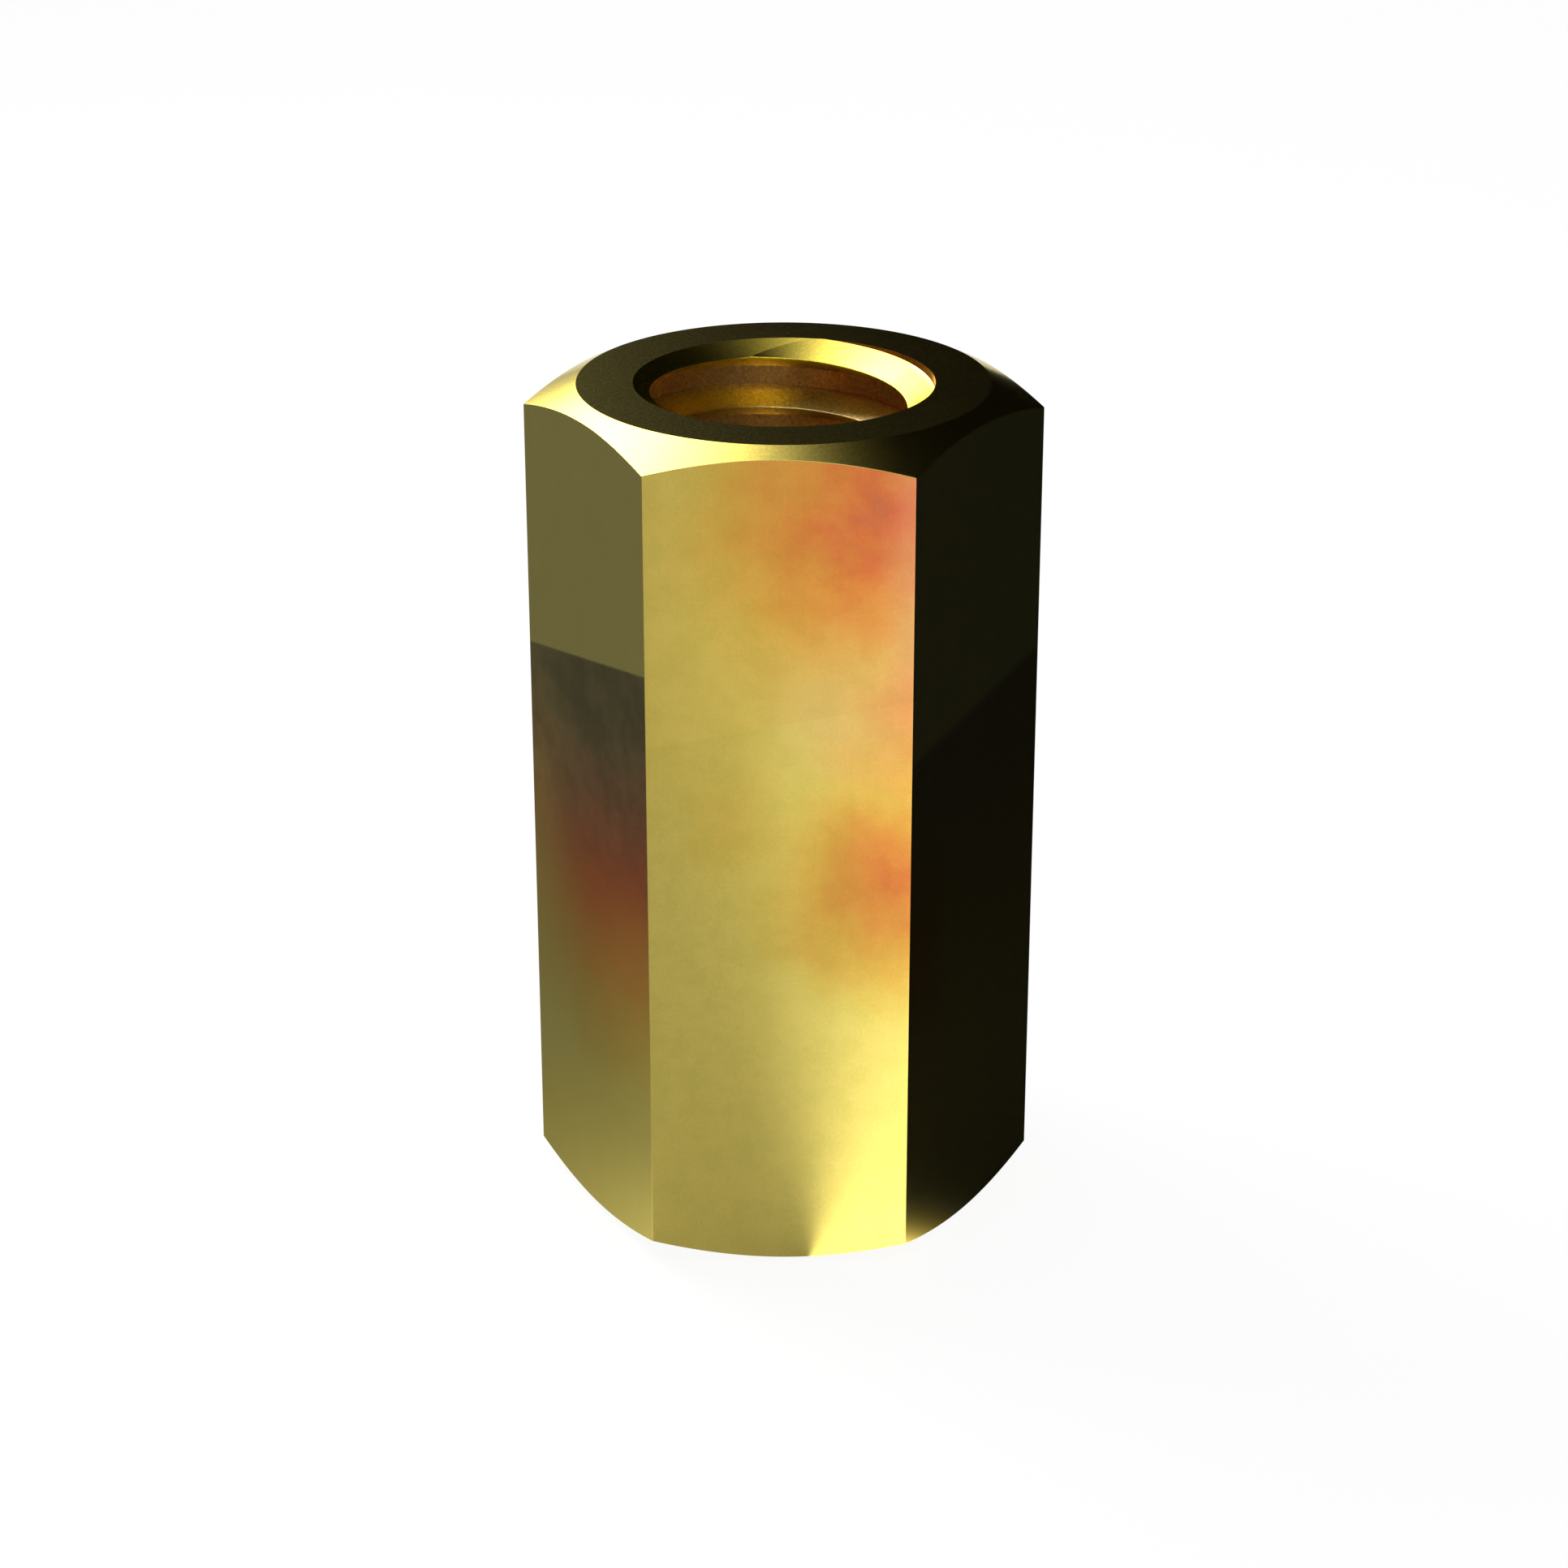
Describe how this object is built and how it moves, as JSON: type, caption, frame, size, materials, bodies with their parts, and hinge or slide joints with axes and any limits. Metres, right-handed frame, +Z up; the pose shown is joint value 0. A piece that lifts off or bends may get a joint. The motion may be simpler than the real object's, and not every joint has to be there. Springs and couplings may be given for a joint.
{
  "type": "coupling nut",
  "caption": "Long hexagonal brass nut, chamfered at both ends, with a right-hand M4 thread right through it to join two threaded rods.",
  "frame": {"origin": "middle of the end face that the nut stands on", "axes": "+Z up along the bore, -Y and +Y out of two opposite flats, -X and +X out of two opposite corners"},
  "size_m": [0.007, 0.006, 0.0117],
  "materials": {
    "brass": "drawn and turned bright brass, slightly tarnished"
  },
  "bodies": {
    "root": {"coupling_nut": "brass"}
  },
  "joints": []
}
